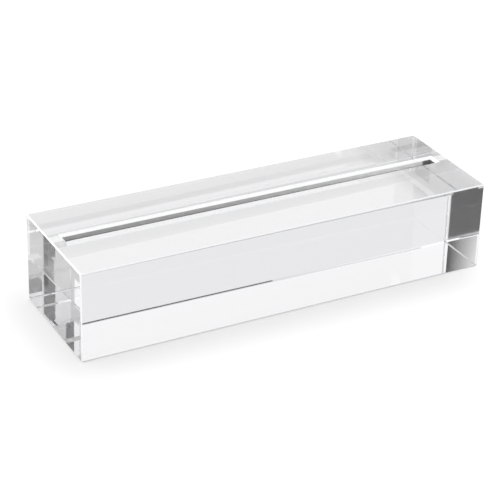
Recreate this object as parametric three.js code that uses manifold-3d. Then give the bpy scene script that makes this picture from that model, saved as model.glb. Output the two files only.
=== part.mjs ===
// Clear block frame: a heavy transparent bar that stands a print or a pane in a slot along its top.
// It is laid up from five polished pieces bonded face to face: a front bar, a rear bar, and between
// them the strip that the print stands on and two short spacers that close the ends of the slot.
// Millimetres, +Z up. The origin is the centre of the face that the block rests on, +X runs along
// the slot, and -Y is the front.

import * as THREE from "three";
import { mergeVertices } from "three/addons/utils/BufferGeometryUtils.js";
import Module from "manifold-3d";

// The slot takes a 152 mm wide print between two thin panes.
const PRINT_WIDTH = 152;
const PRINT_SIDE_CLEARANCE = 1;
const SLOT_WIDTH = 4.2;
const SLOT_DEPTH = 8;
const SLOT_BEHIND_MIDDLE = 2.3;
const MOUTH_CHAMFER = 1;

// The clear material around the slot.
const END_SPACER_LENGTH = 5.5;
const BLOCK_DEPTH = 49.5;
const BLOCK_HEIGHT = 35;
const EDGE_CHAMFER = 0.45;

// The clear stock that every piece is cut from.
const CLEAR_COLOUR = 0xf2f5f4;
const CLEAR_ROUGHNESS = 0.03;
const CLEAR_OPACITY = 0.35;

// Sizes and places that follow from those above.
const SLOT_LENGTH = PRINT_WIDTH + 2 * PRINT_SIDE_CLEARANCE;
const BLOCK_LENGTH = SLOT_LENGTH + 2 * END_SPACER_LENGTH;
const SLOT_FRONT = SLOT_BEHIND_MIDDLE - SLOT_WIDTH / 2;
const SLOT_BACK = SLOT_BEHIND_MIDDLE + SLOT_WIDTH / 2;
const SLOT_FLOOR = BLOCK_HEIGHT - SLOT_DEPTH;
const SLOT_END = SLOT_LENGTH / 2;
const END_FACE = BLOCK_LENGTH / 2;
const FRONT_FACE = -BLOCK_DEPTH / 2;
const BACK_FACE = BLOCK_DEPTH / 2;

const wasm = await Module();
wasm.setup();

// A closed three.js geometry as a solid that can be cut.
function solidFrom(geometry) {
  const bare = geometry.clone();
  bare.deleteAttribute("normal");
  bare.deleteAttribute("uv");
  const merged = mergeVertices(bare);
  const mesh = new wasm.Mesh({
    numProp: 3,
    vertProperties: new Float32Array(merged.attributes.position.array),
    triVerts: new Uint32Array(merged.index.array),
  });
  return new wasm.Manifold(mesh);
}

// A cut solid as a flat-shaded geometry.
function geometryFrom(solid) {
  const { vertProperties, triVerts } = solid.getMesh();
  const shared = new THREE.BufferGeometry();
  shared.setAttribute("position", new THREE.BufferAttribute(vertProperties, 3));
  shared.setIndex(new THREE.BufferAttribute(triVerts, 1));
  const faceted = shared.toNonIndexed();
  faceted.computeVertexNormals();
  return faceted;
}

// A rectangle about the origin with its corners cut off at 45 degrees.
function plateOutline(length, depth, cornerCut) {
  const x = length / 2;
  const y = depth / 2;
  const corners = [
    [x - cornerCut, -y],
    [x, -y + cornerCut],
    [x, y - cornerCut],
    [x - cornerCut, y],
    [-x + cornerCut, y],
    [-x, y - cornerCut],
    [-x, -y + cornerCut],
    [-x + cornerCut, -y],
  ];
  return new THREE.Shape(corners.map(([px, py]) => new THREE.Vector2(px, py)));
}

// The finished block as if it had no slot: every outer edge carries the same small chamfer.
function blockEnvelope() {
  const outline = plateOutline(BLOCK_LENGTH, BLOCK_DEPTH, EDGE_CHAMFER);
  const geometry = new THREE.ExtrudeGeometry(outline, {
    depth: BLOCK_HEIGHT - 2 * EDGE_CHAMFER,
    bevelEnabled: true,
    bevelSegments: 1,
    bevelThickness: EDGE_CHAMFER,
    bevelSize: EDGE_CHAMFER,
    bevelOffset: -EDGE_CHAMFER,
  });
  geometry.translate(0, 0, EDGE_CHAMFER);
  return solidFrom(geometry);
}

// The flared mouth of the slot: it widens by one chamfer on every side, from just under the top
// face up to it, and runs on above the block so that the cut leaves no skin.
function slotMouth() {
  const x = SLOT_LENGTH / 2;
  const y = SLOT_WIDTH / 2;
  const corners = [
    new THREE.Vector2(x, -y),
    new THREE.Vector2(x, y),
    new THREE.Vector2(-x, y),
    new THREE.Vector2(-x, -y),
  ];
  const geometry = new THREE.ExtrudeGeometry(new THREE.Shape(corners), {
    depth: MOUTH_CHAMFER,
    bevelEnabled: true,
    bevelSegments: 1,
    bevelThickness: MOUTH_CHAMFER,
    bevelSize: MOUTH_CHAMFER,
  });
  geometry.translate(0, SLOT_BEHIND_MIDDLE, BLOCK_HEIGHT);
  return solidFrom(geometry);
}

// A box between two opposite corners.
function boxBetween(low, high) {
  const size = new THREE.Vector3().subVectors(high, low);
  const middle = new THREE.Vector3().addVectors(low, high).multiplyScalar(1 / 2);
  const geometry = new THREE.BoxGeometry(size.x, size.y, size.z);
  geometry.translate(middle.x, middle.y, middle.z);
  return solidFrom(geometry);
}

const envelope = blockEnvelope();
const mouth = slotMouth();

// One bonded piece: its stretch of the finished block, less the flared mouth of the slot.
function clearPiece(name, low, high) {
  const stretch = boxBetween(new THREE.Vector3(...low), new THREE.Vector3(...high));
  const solid = envelope.intersect(stretch).subtract(mouth);
  const material = new THREE.MeshStandardMaterial({
    color: CLEAR_COLOUR,
    roughness: CLEAR_ROUGHNESS,
    metalness: 0,
    transparent: true,
    opacity: CLEAR_OPACITY,
  });
  const piece = new THREE.Mesh(geometryFrom(solid), material);
  piece.name = name;
  return piece;
}

const block = new THREE.Group();

// The two heavy bars, each as long and as tall as the block.
block.add(
  clearPiece("front_block", [-END_FACE, FRONT_FACE, 0], [END_FACE, SLOT_FRONT, BLOCK_HEIGHT]),
  clearPiece("rear_block", [-END_FACE, SLOT_BACK, 0], [END_FACE, BACK_FACE, BLOCK_HEIGHT]),
);

// The strip between the bars: its top is the floor of the slot.
block.add(
  clearPiece("slot_floor_strip", [-END_FACE, SLOT_FRONT, 0], [END_FACE, SLOT_BACK, SLOT_FLOOR]),
);

// The spacers that stand on the strip and close the slot at both ends.
block.add(
  clearPiece("left_end_spacer", [-END_FACE, SLOT_FRONT, SLOT_FLOOR], [-SLOT_END, SLOT_BACK, BLOCK_HEIGHT]),
  clearPiece("right_end_spacer", [SLOT_END, SLOT_FRONT, SLOT_FLOOR], [END_FACE, SLOT_BACK, BLOCK_HEIGHT]),
);

export default block;
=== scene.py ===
import math

import bmesh
import bpy
import numpy as np
from mathutils import Matrix, Vector


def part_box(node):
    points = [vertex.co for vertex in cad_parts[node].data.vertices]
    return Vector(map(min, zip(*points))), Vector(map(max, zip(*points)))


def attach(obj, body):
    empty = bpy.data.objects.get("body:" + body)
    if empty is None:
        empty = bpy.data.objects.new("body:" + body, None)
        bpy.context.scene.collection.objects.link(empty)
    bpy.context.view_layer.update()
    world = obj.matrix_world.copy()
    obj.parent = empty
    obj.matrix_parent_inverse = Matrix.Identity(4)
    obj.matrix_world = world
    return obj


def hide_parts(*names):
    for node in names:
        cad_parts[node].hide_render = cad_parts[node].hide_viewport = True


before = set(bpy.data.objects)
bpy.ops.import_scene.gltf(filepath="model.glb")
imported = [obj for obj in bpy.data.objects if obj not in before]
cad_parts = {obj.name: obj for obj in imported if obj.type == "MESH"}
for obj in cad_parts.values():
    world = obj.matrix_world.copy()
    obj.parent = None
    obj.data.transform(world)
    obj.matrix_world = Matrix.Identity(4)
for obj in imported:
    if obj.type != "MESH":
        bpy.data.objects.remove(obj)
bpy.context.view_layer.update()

# The camera looks down on the block from the front left, from about two thirds of a metre away,
# through a long lens, and is turned a little about its own axis.
camera_azimuth = math.radians(-28.67)
camera_elevation = math.radians(28.09)
camera_roll = math.radians(1.70)
camera_distance = 0.6687
camera_aim_right = -0.00307
camera_aim_up = 0.01208
camera_lens_mm = 127.67
camera_sensor_mm = 36

camera_back = Vector((
    math.sin(camera_azimuth) * math.cos(camera_elevation),
    -math.cos(camera_azimuth) * math.cos(camera_elevation),
    math.sin(camera_elevation),
))
level_right = Vector((math.cos(camera_azimuth), math.sin(camera_azimuth), 0))
level_up = camera_back.cross(level_right)
camera_right = math.cos(camera_roll) * level_right + math.sin(camera_roll) * level_up
camera_up = math.cos(camera_roll) * level_up - math.sin(camera_roll) * level_right
camera_place = camera_aim_right * camera_right + camera_aim_up * camera_up + camera_distance * camera_back
camera_turn = Matrix((camera_right, camera_up, camera_back)).transposed().to_4x4()
camera_data = bpy.data.cameras.new("camera")
camera_data.lens = camera_lens_mm
camera_data.sensor_width = camera_sensor_mm
camera = bpy.data.objects.new("camera", camera_data)
camera.matrix_world = Matrix.Translation(camera_place) @ camera_turn
bpy.context.scene.collection.objects.link(camera)
bpy.context.scene.camera = camera

# The front and rear bars are sawn from thick clear stock, polished on every broad face and bonded to
# the thin layer between them. A fine satin chamfer is ground along each outer edge and along the
# slot's mouth; the top edges are greyer as painted shade and the foot edges dark as painted contact
# shadow. The slot's walls keep a saw finish, with painted shade on them.
front_low, front_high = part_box("front_block")
rear_low, rear_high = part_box("rear_block")
_, strip_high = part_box("slot_floor_strip")
spacer_low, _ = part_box("right_end_spacer")
half_length = front_high.x
block_height = front_high.z
slot_front = front_high.y
slot_back = rear_low.y
slot_floor = strip_high.z
slot_end = spacer_low.x
edge_chamfer = 0.00045
mouth_chamfer = 0.001
clear_index = 1.75
clear_tint = (0.945, 0.944, 0.955, 1)
polish_cloud_scale = 60
polish_roughest = 0.008
POLISHED, GROUND, BONDED, SAWN, MOUTH, SHADED_TOP_EDGE, FOOT_SHADOW, FOOT_END_SHADOW = range(8)


def clear_shader(material, tint=clear_tint, smoothest=0, roughest=polish_roughest):
    """A face of the clear stock: a soft cloud pattern varies the polish between two roughnesses,
    which on a polished face are perfect and almost perfect."""
    nodes, links = material.node_tree.nodes, material.node_tree.links
    shader = nodes["Principled BSDF"]
    shader.inputs["Base Color"].default_value = tint
    shader.inputs["Transmission Weight"].default_value = 1
    shader.inputs["IOR"].default_value = clear_index
    place = nodes.new("ShaderNodeTexCoord")
    cloud = nodes.new("ShaderNodeTexNoise")
    cloud.inputs["Scale"].default_value = polish_cloud_scale
    spread = nodes.new("ShaderNodeMapRange")
    spread.inputs["To Min"].default_value = smoothest
    spread.inputs["To Max"].default_value = roughest
    links.new(place.outputs["Object"], cloud.inputs["Vector"])
    links.new(cloud.outputs["Fac"], spread.inputs["Value"])
    links.new(spread.outputs["Result"], shader.inputs["Roughness"])
    return shader


polished_stock = bpy.data.materials.new("polished_stock")
polished_stock.use_nodes = True
clear_shader(polished_stock)

ground_mark_scale = 900
ground_roughness = 0.4
ground_milkiness = 0.15
# Painted shade: from inside the block, the ground faces are darkened so they show as dark lines.
ground_inner_shade = (0.40, 0.40, 0.41, 1)


def ground_finish(name, darkest, lightest, smoothest=0, roughest=polish_roughest,
                  inner_tint=ground_inner_shade, milkiness=ground_milkiness):
    """A face ground to a fine satin: from outside, fine noise between a darker and a lighter grey,
    and from inside the clear stock with a little milk in it, tinted with inner_tint, which by
    default is a painted shade that darkens the edges seen from inside the block."""
    material = bpy.data.materials.new(name)
    material.use_nodes = True
    nodes, links = material.node_tree.nodes, material.node_tree.links
    clear = clear_shader(material, inner_tint, smoothest, roughest)
    place = nodes.new("ShaderNodeTexCoord")
    marks = nodes.new("ShaderNodeTexNoise")
    marks.inputs["Scale"].default_value = ground_mark_scale
    colour = nodes.new("ShaderNodeMix")
    colour.data_type = "RGBA"
    colour.inputs["A"].default_value = darkest
    colour.inputs["B"].default_value = lightest
    satin = nodes.new("ShaderNodeBsdfPrincipled")
    satin.inputs["Roughness"].default_value = ground_roughness
    milk = nodes.new("ShaderNodeBsdfTranslucent")
    inner = nodes.new("ShaderNodeMixShader")
    inner.inputs["Fac"].default_value = milkiness
    side = nodes.new("ShaderNodeNewGeometry")
    both_sides = nodes.new("ShaderNodeMixShader")
    links.new(place.outputs["Object"], marks.inputs["Vector"])
    links.new(marks.outputs["Fac"], colour.inputs["Factor"])
    links.new(colour.outputs["Result"], satin.inputs["Base Color"])
    links.new(colour.outputs["Result"], milk.inputs["Color"])
    links.new(clear.outputs["BSDF"], inner.inputs[1])
    links.new(milk.outputs["BSDF"], inner.inputs[2])
    links.new(side.outputs["Backfacing"], both_sides.inputs["Fac"])
    links.new(satin.outputs["BSDF"], both_sides.inputs[1])
    links.new(inner.outputs["Shader"], both_sides.inputs[2])
    links.new(both_sides.outputs["Shader"], nodes["Material Output"].inputs["Surface"])
    return material


edge_darkest = (0.90, 0.905, 0.91, 1)
edge_lightest = (0.99, 0.99, 0.99, 1)
ground_edge = ground_finish("ground_edge", edge_darkest, edge_lightest)
mouth_smoothest = 0.3
mouth_roughest = 0.4
mouth_edge = ground_finish("mouth_edge", edge_darkest, edge_lightest, mouth_smoothest, mouth_roughest)
# Painted shade: the top edges are a greyer copy of the ground edge.
shaded_top_edge_darkest = (0.80, 0.80, 0.81, 1)
shaded_top_edge_lightest = (0.88, 0.88, 0.89, 1)
shaded_top_edge = ground_finish("shaded_top_edge", shaded_top_edge_darkest, shaded_top_edge_lightest)
# Painted contact shadow: the chamfers along the foot are dark where the block meets the table.
foot_shadow_darkest = (0.30, 0.30, 0.31, 1)
foot_shadow_lightest = (0.42, 0.42, 0.43, 1)
foot_edge = ground_finish("foot_edge", foot_shadow_darkest, foot_shadow_lightest, inner_tint=clear_tint, milkiness=0)
# Painted contact shadow: the foot of each end, and of the strip's ends, is darker still.
foot_end_darkest = (0.10, 0.10, 0.105, 1)
foot_end_lightest = (0.16, 0.16, 0.165, 1)
foot_end_milkiness = 0.36
foot_end = ground_finish("foot_end", foot_end_darkest, foot_end_lightest, milkiness=foot_end_milkiness)

# Painted shade on the slot's walls: darker deeper in the slot and darker towards its left end, with a
# painted white highlight strip and then a painted dark patch near its right end. The saw marks themselves
# are the wall's own texture.
saw_lean = math.radians(28)
saw_mark_scale = (250, 1, 2200)
saw_contrast = 0.25
saw_roughness = 0.55
shade_start_depth = 0.0023
shade_full_depth = 0.0028
depth_shade_share = 0.65
wall_light_and_shade_tones = (
    (-slot_end, 0.56),
    (-0.020, 0.62),
    (0.025, 0.75),
    (0.060, 0.92),
    (0.0718, 0.94),
    (0.0721, 1.0),
    (0.0733, 1.0),
    (0.0736, 0.22),
    (slot_end, 0.22),
)
sawn_wall_shaded = bpy.data.materials.new("sawn_wall_shaded")
sawn_wall_shaded.use_nodes = True
nodes, links = sawn_wall_shaded.node_tree.nodes, sawn_wall_shaded.node_tree.links
wall_clear = clear_shader(sawn_wall_shaded)
wall_place = nodes.new("ShaderNodeTexCoord")
wall_lean = nodes.new("ShaderNodeMapping")
wall_lean.inputs["Rotation"].default_value = (0, saw_lean, 0)
wall_lean.inputs["Scale"].default_value = saw_mark_scale
wall_marks = nodes.new("ShaderNodeTexNoise")
wall_marks.inputs["Scale"].default_value = 1
wall_mark_tone = nodes.new("ShaderNodeMapRange")
wall_mark_tone.inputs["To Min"].default_value = 1 - saw_contrast
wall_mark_tone.inputs["To Max"].default_value = 1 + saw_contrast
wall_along = nodes.new("ShaderNodeSeparateXYZ")
wall_depth_shade = nodes.new("ShaderNodeMapRange")
wall_depth_shade.inputs["From Min"].default_value = block_height - shade_full_depth
wall_depth_shade.inputs["From Max"].default_value = block_height - shade_start_depth
wall_depth_shade.inputs["To Min"].default_value = depth_shade_share
wall_depth_shade.inputs["To Max"].default_value = 1
wall_shade = nodes.new("ShaderNodeMath")
wall_shade.operation = "MULTIPLY"
wall_reach = nodes.new("ShaderNodeMapRange")
wall_reach.inputs["From Min"].default_value = -slot_end
wall_reach.inputs["From Max"].default_value = slot_end
wall_light_ramp = nodes.new("ShaderNodeValToRGB")
while len(wall_light_ramp.color_ramp.elements) < len(wall_light_and_shade_tones):
    wall_light_ramp.color_ramp.elements.new(1)
for stop, (x, tone) in zip(wall_light_ramp.color_ramp.elements, wall_light_and_shade_tones):
    stop.position = (x + slot_end) / (2 * slot_end)
    stop.color = (tone, tone, tone, 1)
wall_colour_and_shade = nodes.new("ShaderNodeVectorMath")
wall_colour_and_shade.operation = "MULTIPLY"
wall_satin = nodes.new("ShaderNodeBsdfPrincipled")
wall_satin.inputs["Roughness"].default_value = saw_roughness
wall_side = nodes.new("ShaderNodeNewGeometry")
wall_mix = nodes.new("ShaderNodeMixShader")
links.new(wall_place.outputs["Object"], wall_lean.inputs["Vector"])
links.new(wall_lean.outputs["Vector"], wall_marks.inputs["Vector"])
links.new(wall_marks.outputs["Fac"], wall_mark_tone.inputs["Value"])
links.new(wall_place.outputs["Object"], wall_along.inputs["Vector"])
links.new(wall_along.outputs["X"], wall_reach.inputs["Value"])
links.new(wall_reach.outputs["Result"], wall_light_ramp.inputs["Fac"])
links.new(wall_light_ramp.outputs["Color"], wall_colour_and_shade.inputs[0])
links.new(wall_along.outputs["Z"], wall_depth_shade.inputs["Value"])
links.new(wall_mark_tone.outputs["Result"], wall_shade.inputs[0])
links.new(wall_depth_shade.outputs["Result"], wall_shade.inputs[1])
links.new(wall_shade.outputs["Value"], wall_colour_and_shade.inputs[1])
links.new(wall_colour_and_shade.outputs["Vector"], wall_satin.inputs["Base Color"])
links.new(wall_side.outputs["Backfacing"], wall_mix.inputs["Fac"])
links.new(wall_satin.outputs["BSDF"], wall_mix.inputs[1])
links.new(wall_clear.outputs["BSDF"], wall_mix.inputs[2])
links.new(wall_mix.outputs["Shader"], nodes["Material Output"].inputs["Surface"])


def thin_film(name, shader_kind):
    """A layer with no thickness, whose surface is one shader alone: gives the material and the shader."""
    material = bpy.data.materials.new(name)
    material.use_nodes = True
    nodes, links = material.node_tree.nodes, material.node_tree.links
    nodes.remove(nodes["Principled BSDF"])
    shader = nodes.new(shader_kind)
    links.new(shader.outputs[0], nodes["Material Output"].inputs["Surface"])
    return material, shader


clear_bond, _ = thin_film("clear_bond", "ShaderNodeBsdfTransparent")
bar_finishes = (
    polished_stock, ground_edge, clear_bond, sawn_wall_shaded, mouth_edge, shaded_top_edge, foot_edge, foot_end,
)


def bonded_piece(part, rows, finish, cap_finish, materials):
    """A closed piece from rows of points: each row is one cross-section, walls join row to row and
    go round the section, and the first and last rows are closed by flat caps. finish[i, k] is the
    finish of the wall between rows i and i + 1 from point k of the section to the next."""
    stations, points = rows.shape[:2]
    index = np.arange(stations * points).reshape(stations, points)
    near, far = index[:-1], index[1:]
    near_next, far_next = np.roll(near, -1, axis=1), np.roll(far, -1, axis=1)
    first = np.stack((near, near_next, far), axis=-1).reshape(-1, 3)
    second = np.stack((near_next, far_next, far), axis=-1).reshape(-1, 3)
    faces = first.tolist() + second.tolist() + [index[0, ::-1].tolist(), index[-1].tolist()]
    finishes = np.concatenate((finish.ravel(), finish.ravel(), [cap_finish, cap_finish]))
    mesh = bpy.data.meshes.new(part + "_clear")
    mesh.from_pydata(rows.reshape(-1, 3).tolist(), [], faces)
    mesh.polygons.foreach_set("material_index", finishes.astype(np.int32))
    for material in materials:
        mesh.materials.append(material)
    weld = 1e-7
    work = bmesh.new()
    work.from_mesh(mesh)
    bmesh.ops.remove_doubles(work, verts=work.verts, dist=weld)
    bmesh.ops.dissolve_degenerate(work, edges=work.edges, dist=weld)
    bmesh.ops.recalc_face_normals(work, faces=work.faces)
    work.to_mesh(mesh)
    work.free()
    piece = bpy.data.objects.new(part + "_clear", mesh)
    bpy.context.scene.collection.objects.link(piece)
    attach(piece, "root")
    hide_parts(part)


def clear_bar(part, bond_y, outer_y):
    """A bar from its bonded face out to its outer face: the section is a rectangle with its outer
    edges cut, flared at the mouth along the slot, and shrunk by one chamfer at both ends."""
    side = math.copysign(1, outer_y - bond_y)
    face_y = outer_y - side * edge_chamfer
    mouth_y = bond_y + side * mouth_chamfer
    section = np.array((
        (face_y, 0),
        (bond_y, 0),
        (bond_y, slot_floor),
        (bond_y, block_height),
        (mouth_y, block_height),
        (face_y, block_height),
        (outer_y, block_height - edge_chamfer),
        (outer_y, edge_chamfer),
    ))
    mouth_corner = 3
    flared = section.copy()
    flared[mouth_corner, 1] = block_height - mouth_chamfer
    shrunk_low = (min(face_y, bond_y), edge_chamfer)
    shrunk_high = (max(face_y, bond_y), block_height - edge_chamfer)
    end = np.clip(section, shrunk_low, shrunk_high)
    half_places = np.array((slot_end, slot_end + mouth_chamfer, half_length - edge_chamfer, half_length))
    places = np.concatenate((-half_places[::-1], half_places))
    sections = np.stack((end, section, section, flared, flared, section, section, end))
    along = np.broadcast_to(places[:, None, None], sections.shape[:2] + (1,))
    rows = np.concatenate((along, sections), axis=-1)
    round_section = (POLISHED, BONDED, BONDED, POLISHED, POLISHED, SHADED_TOP_EDGE, POLISHED, FOOT_SHADOW)
    # The walls of the section that change their finish along the bar, and the stretches where they do.
    base, bond, slot_wall, mouth = range(4)
    ends = [0, -1]
    along_slot = 3
    finish = np.tile(round_section, (len(places) - 1, 1))
    finish[along_slot - 1:along_slot + 2, mouth] = MOUTH
    finish[along_slot, slot_wall] = SAWN
    finish[ends, :] = GROUND
    finish[ends, base] = FOOT_END_SHADOW
    finish[ends, bond:mouth] = BONDED
    bonded_piece(part, rows, finish, POLISHED, bar_finishes)


clear_bar("front_block", slot_front, front_low.y)
clear_bar("rear_block", slot_back, rear_high.y)

# The strip is a thinner length of the same clear stock, bonded between the bars over their whole
# length. Its polished upper edge is the floor of the slot, and its ends are flush with the bars.
strip_section = np.array((
    (slot_front, 0),
    (slot_back, 0),
    (slot_back, slot_floor),
    (slot_front, slot_floor),
))
strip_end = np.clip(strip_section, (slot_front, edge_chamfer), (slot_back, slot_floor))
strip_half_places = np.array((slot_end, half_length - edge_chamfer, half_length))
strip_places = np.concatenate((-strip_half_places[::-1], strip_half_places))
strip_sections = np.stack((
    strip_end, strip_section, strip_section, strip_section, strip_section, strip_end,
))
strip_along = np.broadcast_to(strip_places[:, None, None], strip_sections.shape[:2] + (1,))
strip_rows = np.concatenate((strip_along, strip_sections), axis=-1)
strip_finish = np.tile((POLISHED, BONDED, BONDED, BONDED), (len(strip_places) - 1, 1))
strip_base, strip_top = 0, 2
strip_ends = [0, -1]
strip_along_slot = 2
strip_finish[strip_along_slot, strip_top] = POLISHED
strip_finish[strip_ends, strip_base] = FOOT_END_SHADOW
bonded_piece("slot_floor_strip", strip_rows, strip_finish, POLISHED, bar_finishes)

# The two spacers are short offcuts that stand on the strip at its ends and close the slot there.
# Their tops are ground flush with the bars, with a greyer painted shade on them; their bonds are a
# little milky and hold specks of trapped air, and the faces that look into the slot are left from
# the saw and carry the slot walls' painted shade.
shaded_top_darkest = (0.60, 0.605, 0.61, 1)
shaded_top_lightest = (0.80, 0.80, 0.80, 1)
shaded_ground_top = ground_finish("shaded_ground_top", shaded_top_darkest, shaded_top_lightest)

speck_scale = 900
speck_edge = 0.12
speck_strength = 0.7
milk_strength = 0.2
milky_bond = bpy.data.materials.new("milky_bond")
milky_bond.use_nodes = True
nodes, links = milky_bond.node_tree.nodes, milky_bond.node_tree.links
nodes.remove(nodes["Principled BSDF"])
milk_place = nodes.new("ShaderNodeTexCoord")
milk_specks = nodes.new("ShaderNodeTexVoronoi")
milk_specks.inputs["Scale"].default_value = speck_scale
milk_share = nodes.new("ShaderNodeMapRange")
milk_share.inputs["From Max"].default_value = speck_edge
milk_share.inputs["To Min"].default_value = speck_strength
milk_share.inputs["To Max"].default_value = milk_strength
milk_film = nodes.new("ShaderNodeBsdfTransparent")
milk_white = nodes.new("ShaderNodeBsdfTranslucent")
milk_mix = nodes.new("ShaderNodeMixShader")
links.new(milk_place.outputs["Object"], milk_specks.inputs["Vector"])
links.new(milk_specks.outputs["Distance"], milk_share.inputs["Value"])
links.new(milk_share.outputs["Result"], milk_mix.inputs["Fac"])
links.new(milk_film.outputs["BSDF"], milk_mix.inputs[1])
links.new(milk_white.outputs["BSDF"], milk_mix.inputs[2])
links.new(milk_mix.outputs["Shader"], nodes["Material Output"].inputs["Surface"])

MILKY = len(bar_finishes)
SHADED_GROUND_TOP = MILKY + 1
spacer_finishes = bar_finishes + (milky_bond, shaded_ground_top)
spacer_finish = np.array(((POLISHED, GROUND, SHADED_GROUND_TOP, MOUTH, SAWN, BONDED),))
right_section = np.array((
    (half_length, slot_floor),
    (half_length, block_height - edge_chamfer),
    (half_length - edge_chamfer, block_height),
    (slot_end + mouth_chamfer, block_height),
    (slot_end, block_height - mouth_chamfer),
    (slot_end, slot_floor),
))
spacer_bond_y = np.array((slot_front, slot_back))
for part, side in (("left_end_spacer", -1), ("right_end_spacer", 1)):
    spacer_rows = np.empty((len(spacer_bond_y), len(right_section), 3))
    spacer_rows[:, :, 0] = side * right_section[:, 0]
    spacer_rows[:, :, 1] = spacer_bond_y[:, None]
    spacer_rows[:, :, 2] = right_section[:, 1]
    bonded_piece(part, spacer_rows, spacer_finish, MILKY, spacer_finishes)

# The table under the block is plain, broad, matt and white. It gives off a little light of its own to
# stay white, and less of it close to the block, as a painted soft shadow moved a little to the left.
table_half = 3.0
table_drop = 0.0001
table_white = (0.35, 0.35, 0.35, 1)
table_roughness = 0.9
table_glow = 0.66
shadow_glow = 0.535
shadow_reach = 0.025
shadow_left = 0.010


def corners(left, front, right, rear):
    """The four corners of a flat rectangle, going round it from the front left."""
    return (left, front), (right, front), (right, rear), (left, rear)


def table_layer(name, points, materials, depth, seen_by, faces=((0, 1, 2, 3),)):
    """A flat sheet of the table through points on one level, a depth below the block's base, that only
    the rays named can see: as one rectangle, or as the faces given."""
    mesh = bpy.data.meshes.new(name)
    mesh.from_pydata([(x, y, -depth) for x, y in points], [], faces)
    for material in materials:
        mesh.materials.append(material)
    layer = bpy.data.objects.new(name, mesh)
    layer.visible_camera = "camera" in seen_by
    layer.visible_diffuse = "diffuse" in seen_by
    layer.visible_glossy = "glossy" in seen_by
    layer.visible_transmission = "transmission" in seen_by
    layer.visible_shadow = "shadow" in seen_by
    bpy.context.scene.collection.objects.link(layer)
    return layer


table_material = bpy.data.materials.new("table")
table_material.use_nodes = True
nodes, links = table_material.node_tree.nodes, table_material.node_tree.links
table_shader = nodes["Principled BSDF"]
table_shader.inputs["Base Color"].default_value = table_white
table_shader.inputs["Roughness"].default_value = table_roughness
table_shader.inputs["Specular IOR Level"].default_value = 0
table_shader.inputs["Emission Color"].default_value = (1, 1, 1, 1)
table_place = nodes.new("ShaderNodeTexCoord")
table_shift = nodes.new("ShaderNodeVectorMath")
table_shift.inputs[1].default_value = (shadow_left, 0, 0)
table_across = nodes.new("ShaderNodeVectorMath")
table_across.operation = "ABSOLUTE"
table_beyond = nodes.new("ShaderNodeVectorMath")
table_beyond.operation = "SUBTRACT"
table_beyond.inputs[1].default_value = (half_length - shadow_left, rear_high.y, 0)
table_outside = nodes.new("ShaderNodeVectorMath")
table_outside.operation = "MAXIMUM"
table_reach = nodes.new("ShaderNodeVectorMath")
table_reach.operation = "LENGTH"
table_shadow_fade = nodes.new("ShaderNodeMapRange")
table_shadow_fade.interpolation_type = "SMOOTHSTEP"
table_shadow_fade.inputs["From Max"].default_value = shadow_reach
table_shadow_fade.inputs["To Min"].default_value = shadow_glow
table_shadow_fade.inputs["To Max"].default_value = table_glow
links.new(table_place.outputs["Object"], table_shift.inputs[0])
links.new(table_shift.outputs["Vector"], table_across.inputs[0])
links.new(table_across.outputs["Vector"], table_beyond.inputs[0])
links.new(table_beyond.outputs["Vector"], table_outside.inputs[0])
links.new(table_outside.outputs["Vector"], table_reach.inputs[0])
links.new(table_reach.outputs["Value"], table_shadow_fade.inputs["Value"])
links.new(table_shadow_fade.outputs["Result"], table_shader.inputs["Emission Strength"])
table_sheet = corners(-table_half, -table_half, table_half, table_half)
table_rays = ("camera", "diffuse", "glossy", "shadow")
table_layer("table", table_sheet, [table_material], table_drop, table_rays)

# The table's sheen is what the block's outer faces mirror of it. The photograph shows little of that,
# so a grey film just over the table, which only mirrored rays meet, takes most of it away.
sheen_drop = 0.00007
sheen_share = (0.4, 0.4, 0.4, 1)
sheen_film, sheen_filter = thin_film("table_sheen", "ShaderNodeBsdfTransparent")
sheen_filter.inputs["Color"].default_value = sheen_share
table_layer("table_sheen", table_sheet, [sheen_film], sheen_drop, ("glossy",))

# The table's polish is what shows through the clear block: a mirror around it, a painted dark contact
# shadow where the chamfers meet the table, and painted white light under it, with painted shade that
# darkens it to the right and towards the back.
polish_drop = 0.00005
polish_mirror = (0.87, 0.87, 0.88, 1)
polish_blur = 0.03
polish_mirror_share = 0.97
under_mirror_share = 0.1
under_painted_light = 0.92
under_right_shade_share = 0.68
under_right_start = 0.061
under_right_end = 0.077
under_back_shade_share = 0.935
under_back_start = 0.004
under_back_end = 0.012
# Painted contact shadow: a dark band of the polish just round the block's foot.
contact_line_out = 0.0007
contact_shadow_side_glow = 0.6
contact_shadow_end_glow = 0.0


def polish_finish(name, mirror_share):
    """A share of slightly blurred mirror, with plain white light for the rest: gives the material
    and its white light."""
    material = bpy.data.materials.new(name)
    material.use_nodes = True
    nodes, links = material.node_tree.nodes, material.node_tree.links
    nodes.remove(nodes["Principled BSDF"])
    mirror = nodes.new("ShaderNodeBsdfGlossy")
    mirror.inputs["Color"].default_value = polish_mirror
    mirror.inputs["Roughness"].default_value = polish_blur
    white = nodes.new("ShaderNodeEmission")
    mix = nodes.new("ShaderNodeMixShader")
    mix.inputs["Fac"].default_value = mirror_share
    links.new(white.outputs["Emission"], mix.inputs[1])
    links.new(mirror.outputs["BSDF"], mix.inputs[2])
    links.new(mix.outputs["Shader"], nodes["Material Output"].inputs["Surface"])
    return material, white


polish_around, _ = polish_finish("table_polish", polish_mirror_share)
polish_shadow_sides, polish_sides_white = polish_finish("table_contact_sides", 0)
polish_sides_white.inputs["Strength"].default_value = contact_shadow_side_glow
polish_shadow_ends, polish_ends_white = polish_finish("table_contact_ends", 0)
polish_ends_white.inputs["Strength"].default_value = contact_shadow_end_glow
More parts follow.
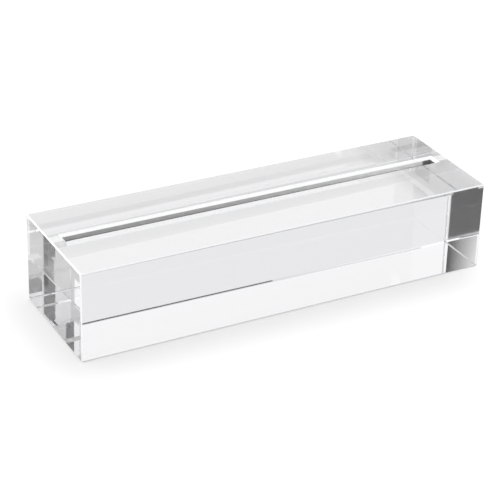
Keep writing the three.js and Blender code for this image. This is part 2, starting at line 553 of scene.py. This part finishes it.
# Painted light under the block: a white glow, with painted shade towards the right end and the back.
polish_under, polish_under_white = polish_finish("table_under_block", under_mirror_share)
nodes, links = polish_under.node_tree.nodes, polish_under.node_tree.links
under_place = nodes.new("ShaderNodeTexCoord")
under_parts = nodes.new("ShaderNodeSeparateXYZ")
under_right = nodes.new("ShaderNodeMapRange")
under_right.interpolation_type = "SMOOTHSTEP"
under_right.inputs["From Min"].default_value = under_right_start
under_right.inputs["From Max"].default_value = under_right_end
under_right.inputs["To Min"].default_value = under_painted_light
under_right.inputs["To Max"].default_value = under_painted_light * under_right_shade_share
under_back = nodes.new("ShaderNodeMapRange")
under_back.interpolation_type = "SMOOTHSTEP"
under_back.inputs["From Min"].default_value = under_back_start
under_back.inputs["From Max"].default_value = under_back_end
under_back.inputs["To Min"].default_value = 1
under_back.inputs["To Max"].default_value = under_back_shade_share
under_strength = nodes.new("ShaderNodeMath")
under_strength.operation = "MULTIPLY"
links.new(under_place.outputs["Object"], under_parts.inputs["Vector"])
links.new(under_parts.outputs["X"], under_right.inputs["Value"])
links.new(under_parts.outputs["Y"], under_back.inputs["Value"])
links.new(under_right.outputs["Result"], under_strength.inputs[0])
links.new(under_back.outputs["Result"], under_strength.inputs[1])
links.new(under_strength.outputs["Value"], polish_under_white.inputs["Strength"])

polish_x = np.array((half_length - edge_chamfer, half_length + contact_line_out, table_half))
polish_y = np.array((rear_high.y - edge_chamfer, rear_high.y + contact_line_out, table_half))
grid_x, grid_y = np.meshgrid(
    np.concatenate((-polish_x[::-1], polish_x)),
    np.concatenate((-polish_y[::-1], polish_y)),
    indexing="ij",
)
polish_points = np.stack((grid_x, grid_y), axis=-1).reshape(-1, 2)
polish_index = np.arange(grid_x.size).reshape(grid_x.shape)
polish_faces = np.stack((
    polish_index[:-1, :-1], polish_index[1:, :-1], polish_index[1:, 1:], polish_index[:-1, 1:],
), axis=-1)
AROUND, AT_ENDS, AT_SIDES, UNDER = range(4)
polish_kind = np.full(polish_faces.shape[:2], AROUND, np.int32)
polish_kind[1:-1, 1:-1] = AT_ENDS
polish_kind[2:-2, 1:-1] = AT_SIDES
polish_kind[2:-2, 2:-2] = UNDER
polish = table_layer(
    "table_polish",
    polish_points.tolist(),
    [polish_around, polish_shadow_ends, polish_shadow_sides, polish_under],
    polish_drop,
    ("transmission",),
    polish_faces.reshape(-1, 4).tolist(),
)
polish.data.polygons.foreach_set("material_index", polish_kind.ravel())

# Two small sheets of grey film lie on the table at the right end. Through the block, the front one
# shows as a dark patch low on the left end, and the other takes the glare off a thin line there.
shade_drop = 0.00003
shades = (
    ("table_shade", (0.093, -0.060), (0.102, -0.044), 0.3),
    ("table_shade_line", (0.0832, -0.0042), (0.0915, -0.0022), 0.4),
)
for name, front_left, rear_right, share in shades:
    shade_film, shade_filter = thin_film(name, "ShaderNodeBsdfTransparent")
    shade_filter.inputs["Color"].default_value = (share, share, share, 1)
    table_layer(name, corners(*front_left, *rear_right), [shade_film], shade_drop, ("transmission",))

# Boards that the camera doesn't see stand behind the block and at its right, as they do wherever
# clear glass is photographed. The inner faces of the block turn the grey ones, which are filters over
# what lies behind them, into its dark bands, and the three white cards into its white strips.
behind = ("y", 0.225)
right = ("x", 0.100)
further_right = ("x", 0.1006)
board_steps = 17
card_glow = 1.2
grey_board, board_filter = thin_film("grey_board", "ShaderNodeBsdfTransparent")
board_tone = grey_board.node_tree.nodes.new("ShaderNodeAttribute")
board_tone.attribute_name = "tone"
grey_board.node_tree.links.new(board_tone.outputs["Color"], board_filter.inputs["Color"])
white_card, card_light = thin_film("white_card", "ShaderNodeEmission")
card_light.inputs["Strength"].default_value = card_glow


def board(name, stand, low, high, tones, material, seen_by):
    """An upright rectangle between two opposite corners, standing square to the x or the y axis at a
    distance along it: the tone between the corners is the two-way mean of the corners' tones."""
    way, distance = stand
    u, v = np.meshgrid(np.linspace(0, 1, board_steps), np.linspace(0, 1, board_steps), indexing="ij")
    across = (low[0] + (high[0] - low[0]) * u).ravel()
    up = (low[1] + (high[1] - low[1]) * v).ravel()
    away = np.full_like(across, distance)
    places = np.column_stack((away, across, up) if way == "x" else (across, away, up))
    weights = np.stack(((1 - u) * (1 - v), u * (1 - v), u * v, (1 - u) * v), axis=-1)
    tone = (weights @ np.array(tones, float)).ravel()
    index = np.arange(u.size).reshape(u.shape)
    faces = np.stack((index[:-1, :-1], index[1:, :-1], index[1:, 1:], index[:-1, 1:]), axis=-1)
    mesh = bpy.data.meshes.new(name)
    mesh.from_pydata(places.tolist(), [], faces.reshape(-1, 4).tolist())
    colours = np.column_stack((tone, tone, tone, np.ones_like(tone)))
    mesh.attributes.new("tone", "FLOAT_COLOR", "POINT").data.foreach_set("color", colours.ravel())
    mesh.materials.append(material)
    panel = bpy.data.objects.new(name, mesh)
    panel.visible_camera = False
    panel.visible_diffuse = False
    panel.visible_shadow = False
    panel.visible_glossy = "glossy" in seen_by
    panel.visible_transmission = "transmission" in seen_by
    bpy.context.scene.collection.objects.link(panel)


both_rays = ("glossy", "transmission")
grey_boards = (
    ("board_low", behind, (-0.095, 0.085), (-0.0633, 0.1265), (0.03, 0.03, 0.03, 0.03), both_rays),
    ("board_soft", behind, (-0.083, 0.127), (-0.0637, 0.150), (0.62, 0.0, 0.0, 0.82), both_rays),
    ("board_line", behind, (-0.010, 0.030), (0.106, 0.076), (0.1, 0.1, 0.1, 0.1), both_rays),
    ("panel_low", right, (0.000, 0.000), (0.049, 0.038), (0.85, 0.85, 0.8, 0.8), both_rays),
    ("panel_high", right, (0.000, 0.041), (0.062, 0.068), (0.65, 0.65, 0.65, 0.65), both_rays),
    ("flag_low", further_right, (0.036, 0.000), (0.0485, 0.014), (0.03, 0.03, 0.0, 0.0), both_rays),
    ("flag_mid", further_right, (0.0375, 0.043), (0.0485, 0.051), (0.0, 0.0, 0.0, 0.0), both_rays),
    ("flag_soft", further_right, (0.0375, 0.051), (0.0485, 0.059), (0.15, 0.15, 0.5, 0.5), both_rays),
    ("flag_top", further_right, (0.0375, 0.059), (0.0485, 0.066), (0.4, 0.4, 0.0, 0.0), both_rays),
    ("flag_front", further_right, (-0.0335, 0.000), (-0.0238, 0.021), (0.0, 0.0, 0.0, 0.0), ("glossy",)),
)
for name, stand, low, high, tones, seen_by in grey_boards:
    board(name, stand, low, high, tones, grey_board, seen_by)

card_tones = (1, 1, 1, 1)
white_cards = (
    ("card_low", (-0.064, 0.0075), (-0.0575, 0.015), ("transmission",)),
    ("card_high", (-0.064, 0.049), (-0.0575, 0.064), ("transmission",)),
    ("card_front", (-0.0236, 0.000), (-0.0150, 0.022), ("glossy",)),
)
for name, low, high, seen_by in white_cards:
    board(name, right, low, high, card_tones, white_card, seen_by)

# The sky is one soft white light all round: dim at the horizon, white above it, brightest overhead and
# at the left, and dimmer in front so that the front edges stay quiet. Light that enters the block
# meets many faces and bonds before it leaves, so it may bounce often.
horizon_sine = 0.22
sky_sine = 0.36
zenith_sine = 0.6
horizon_strength = 0.6
sky_strength = 1.05
zenith_strength = 1.8
front_strength = 0.55
front_reach = 0.6
left_strength = 1.6
left_reach = 0.7
left_way = (-0.8, -0.6, 0)
clear_bounces = 32
bond_bounces = 64
world = bpy.data.worlds.new("studio")
world.use_nodes = True
nodes, links = world.node_tree.nodes, world.node_tree.links


def sky_change(along, start, end, before, after):
    """Light that goes smoothly from one strength to another between two places along an axis."""
    change = nodes.new("ShaderNodeMapRange")
    change.interpolation_type = "SMOOTHSTEP"
    change.inputs["From Min"].default_value = start
    change.inputs["From Max"].default_value = end
    change.inputs["To Min"].default_value = before
    change.inputs["To Max"].default_value = after
    links.new(along, change.inputs["Value"])
    return change.outputs["Result"]


def sky_product(first, second):
    """Two strengths of light multiplied."""
    product = nodes.new("ShaderNodeMath")
    product.operation = "MULTIPLY"
    links.new(first, product.inputs[0])
    links.new(second, product.inputs[1])
    return product.outputs["Value"]


sky_place = nodes.new("ShaderNodeTexCoord")
sky_axes = nodes.new("ShaderNodeSeparateXYZ")
links.new(sky_place.outputs["Generated"], sky_axes.inputs["Vector"])
sky_rise = sky_change(sky_axes.outputs["Z"], horizon_sine, sky_sine, horizon_strength, sky_strength)
sky_overhead = sky_change(sky_axes.outputs["Z"], zenith_sine, 1, 1, zenith_strength)
sky_front = sky_change(sky_axes.outputs["Y"], -front_reach, 0, front_strength, 1)
sky_leftward = nodes.new("ShaderNodeVectorMath")
sky_leftward.operation = "DOT_PRODUCT"
sky_leftward.inputs[1].default_value = left_way
links.new(sky_place.outputs["Generated"], sky_leftward.inputs[0])
sky_left = sky_change(sky_leftward.outputs["Value"], 0, left_reach, 1, left_strength)
sky_light = sky_product(sky_product(sky_rise, sky_overhead), sky_product(sky_front, sky_left))
links.new(sky_light, nodes["Background"].inputs["Strength"])
nodes["Background"].inputs["Color"].default_value = (1, 1, 1, 1)
bpy.context.scene.world = world
bpy.context.scene.view_settings.view_transform = "Standard"
bpy.context.scene.cycles.max_bounces = clear_bounces
bpy.context.scene.cycles.transmission_bounces = clear_bounces
bpy.context.scene.cycles.glossy_bounces = clear_bounces
bpy.context.scene.cycles.transparent_max_bounces = bond_bounces
